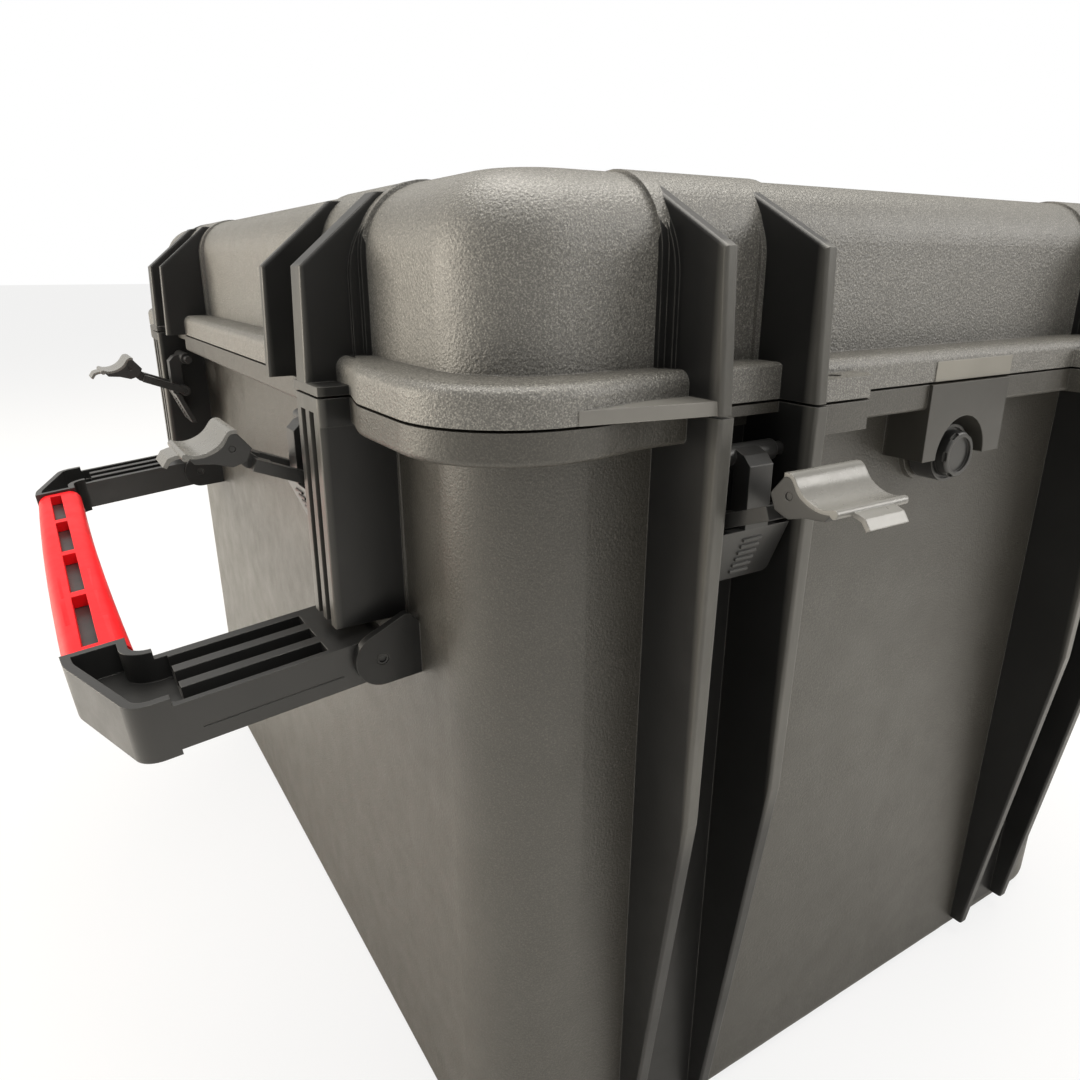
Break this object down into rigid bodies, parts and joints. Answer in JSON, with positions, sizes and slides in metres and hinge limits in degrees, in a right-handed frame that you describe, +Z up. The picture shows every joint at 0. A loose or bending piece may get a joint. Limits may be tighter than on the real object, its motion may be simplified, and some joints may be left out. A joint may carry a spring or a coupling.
{
  "type": "waterproof transport case",
  "caption": "Deep rectangular waterproof case with a hinged lid, draw latches, fold-out handles with red grips, a lid seal and a pressure valve.",
  "frame": {"origin": "middle of the underside of the base", "axes": "+Z up, -Y to the side with the pressure valve, +X to the right with a handle at each end"},
  "size_m": [0.8608, 0.8211, 0.5417],
  "materials": {
    "shell": "fine leather-like grain",
    "fitting": "satin",
    "hook_plate": "satin grey",
    "grip": "satin",
    "seal": "matt",
    "steel": "ground"
  },
  "bodies": {
    "base": {"base_shell": "shell", "hinge_pins": "steel", "latch_hinge_pins": "fitting", "left_handle_pins": "fitting", "right_handle_pins": "fitting", "valve_body": "fitting", "valve_cap": "fitting", "valve_ring": "seal", "valve_nut": "fitting"},
    "lid": {"lid_shell": "shell", "lid_seal": "seal"},
    "front_left_latch_lever": {"front_left_lever": "fitting", "front_left_bail_pin": "fitting"},
    "front_left_latch_bail": {"front_left_bail": "fitting", "front_left_hook_pin": "fitting"},
    "front_left_latch_hook": {"front_left_hook_cradle": "fitting", "front_left_hook_plate": "hook_plate"},
    "front_right_latch_lever": {"front_right_lever": "fitting", "front_right_bail_pin": "fitting"},
    "front_right_latch_bail": {"front_right_bail": "fitting", "front_right_hook_pin": "fitting"},
    "front_right_latch_hook": {"front_right_hook_cradle": "fitting", "front_right_hook_plate": "hook_plate"},
    "left_front_latch_lever": {"left_front_lever": "fitting", "left_front_bail_pin": "fitting"},
    "left_front_latch_bail": {"left_front_bail": "fitting", "left_front_hook_pin": "fitting"},
    "left_front_latch_hook": {"left_front_hook_cradle": "fitting", "left_front_hook_plate": "hook_plate"},
    "left_back_latch_lever": {"left_back_lever": "fitting", "left_back_bail_pin": "fitting"},
    "left_back_latch_bail": {"left_back_bail": "fitting", "left_back_hook_pin": "fitting"},
    "left_back_latch_hook": {"left_back_hook_cradle": "fitting", "left_back_hook_plate": "hook_plate"},
    "right_front_latch_lever": {"right_front_lever": "fitting", "right_front_bail_pin": "fitting"},
    "right_front_latch_bail": {"right_front_bail": "fitting", "right_front_hook_pin": "fitting"},
    "right_front_latch_hook": {"right_front_hook_cradle": "fitting", "right_front_hook_plate": "hook_plate"},
    "right_back_latch_lever": {"right_back_lever": "fitting", "right_back_bail_pin": "fitting"},
    "right_back_latch_bail": {"right_back_bail": "fitting", "right_back_hook_pin": "fitting"},
    "right_back_latch_hook": {"right_back_hook_cradle": "fitting", "right_back_hook_plate": "hook_plate"},
    "left_handle": {"left_handle_frame": "fitting", "left_grip": "grip"},
    "right_handle": {"right_handle_frame": "fitting", "right_grip": "grip"}
  },
  "joints": [
    {"name": "lid_hinge", "type": "hinge", "parent": "base", "child": "lid", "pos_m": [0, 0.373, 0.44], "axis": [-1, 0, 0], "range_deg": [0, 100]},
    {"name": "front_left_lever_turn", "type": "hinge", "parent": "base", "child": "front_left_latch_lever", "pos_m": [-0.16475, -0.36445, 0.42735], "axis": [-1, 0, 0], "range_deg": [0, 90]},
    {"name": "front_left_bail_turn", "type": "hinge", "parent": "front_left_latch_lever", "child": "front_left_latch_bail", "pos_m": [-0.16475, -0.36885, 0.39985], "axis": [1, 0, 0], "range_deg": [-57, 15]},
    {"name": "front_left_hook_turn", "type": "hinge", "parent": "front_left_latch_bail", "child": "front_left_latch_hook", "pos_m": [-0.16475, -0.4104, 0.4217], "axis": [1, 0, 0], "range_deg": [-67, 15]},
    {"name": "front_right_lever_turn", "type": "hinge", "parent": "base", "child": "front_right_latch_lever", "pos_m": [0.16475, -0.36445, 0.42735], "axis": [-1, 0, 0], "range_deg": [0, 90]},
    {"name": "front_right_bail_turn", "type": "hinge", "parent": "front_right_latch_lever", "child": "front_right_latch_bail", "pos_m": [0.16475, -0.36885, 0.39985], "axis": [1, 0, 0], "range_deg": [-57, 15]},
    {"name": "front_right_hook_turn", "type": "hinge", "parent": "front_right_latch_bail", "child": "front_right_latch_hook", "pos_m": [0.16475, -0.4104, 0.4217], "axis": [1, 0, 0], "range_deg": [-67, 15]},
    {"name": "left_front_lever_turn", "type": "hinge", "parent": "base", "child": "left_front_latch_lever", "pos_m": [-0.29695, -0.19225, 0.42735], "axis": [0, 1, 0], "range_deg": [0, 90]},
    {"name": "left_front_bail_turn", "type": "hinge", "parent": "left_front_latch_lever", "child": "left_front_latch_bail", "pos_m": [-0.30135, -0.19225, 0.39985], "axis": [0, -1, 0], "range_deg": [-57, 15]},
    {"name": "left_front_hook_turn", "type": "hinge", "parent": "left_front_latch_bail", "child": "left_front_latch_hook", "pos_m": [-0.3429, -0.19225, 0.4217], "axis": [0, -1, 0], "range_deg": [-67, 15]},
    {"name": "left_back_lever_turn", "type": "hinge", "parent": "base", "child": "left_back_latch_lever", "pos_m": [-0.29695, 0.19225, 0.42735], "axis": [0, 1, 0], "range_deg": [0, 90]},
    {"name": "left_back_bail_turn", "type": "hinge", "parent": "left_back_latch_lever", "child": "left_back_latch_bail", "pos_m": [-0.30135, 0.19225, 0.39985], "axis": [0, -1, 0], "range_deg": [-57, 15]},
    {"name": "left_back_hook_turn", "type": "hinge", "parent": "left_back_latch_bail", "child": "left_back_latch_hook", "pos_m": [-0.3429, 0.19225, 0.4217], "axis": [0, -1, 0], "range_deg": [-67, 15]},
    {"name": "right_front_lever_turn", "type": "hinge", "parent": "base", "child": "right_front_latch_lever", "pos_m": [0.29695, -0.19225, 0.42735], "axis": [0, -1, 0], "range_deg": [0, 90]},
    {"name": "right_front_bail_turn", "type": "hinge", "parent": "right_front_latch_lever", "child": "right_front_latch_bail", "pos_m": [0.30135, -0.19225, 0.39985], "axis": [0, 1, 0], "range_deg": [-57, 15]},
    {"name": "right_front_hook_turn", "type": "hinge", "parent": "right_front_latch_bail", "child": "right_front_latch_hook", "pos_m": [0.3429, -0.19225, 0.4217], "axis": [0, 1, 0], "range_deg": [-67, 15]},
    {"name": "right_back_lever_turn", "type": "hinge", "parent": "base", "child": "right_back_latch_lever", "pos_m": [0.29695, 0.19225, 0.42735], "axis": [0, -1, 0], "range_deg": [0, 90]},
    {"name": "right_back_bail_turn", "type": "hinge", "parent": "right_back_latch_lever", "child": "right_back_latch_bail", "pos_m": [0.30135, 0.19225, 0.39985], "axis": [0, 1, 0], "range_deg": [-57, 15]},
    {"name": "right_back_hook_turn", "type": "hinge", "parent": "right_back_latch_bail", "child": "right_back_latch_hook", "pos_m": [0.3429, 0.19225, 0.4217], "axis": [0, 1, 0], "range_deg": [-67, 15]},
    {"name": "left_handle_turn", "type": "hinge", "parent": "base", "child": "left_handle", "pos_m": [-0.29425, 0, 0.3212], "axis": [0, 1, 0], "range_deg": [-84, 6]},
    {"name": "right_handle_turn", "type": "hinge", "parent": "base", "child": "right_handle", "pos_m": [0.29425, 0, 0.3212], "axis": [0, -1, 0], "range_deg": [-84, 6]}
  ]
}
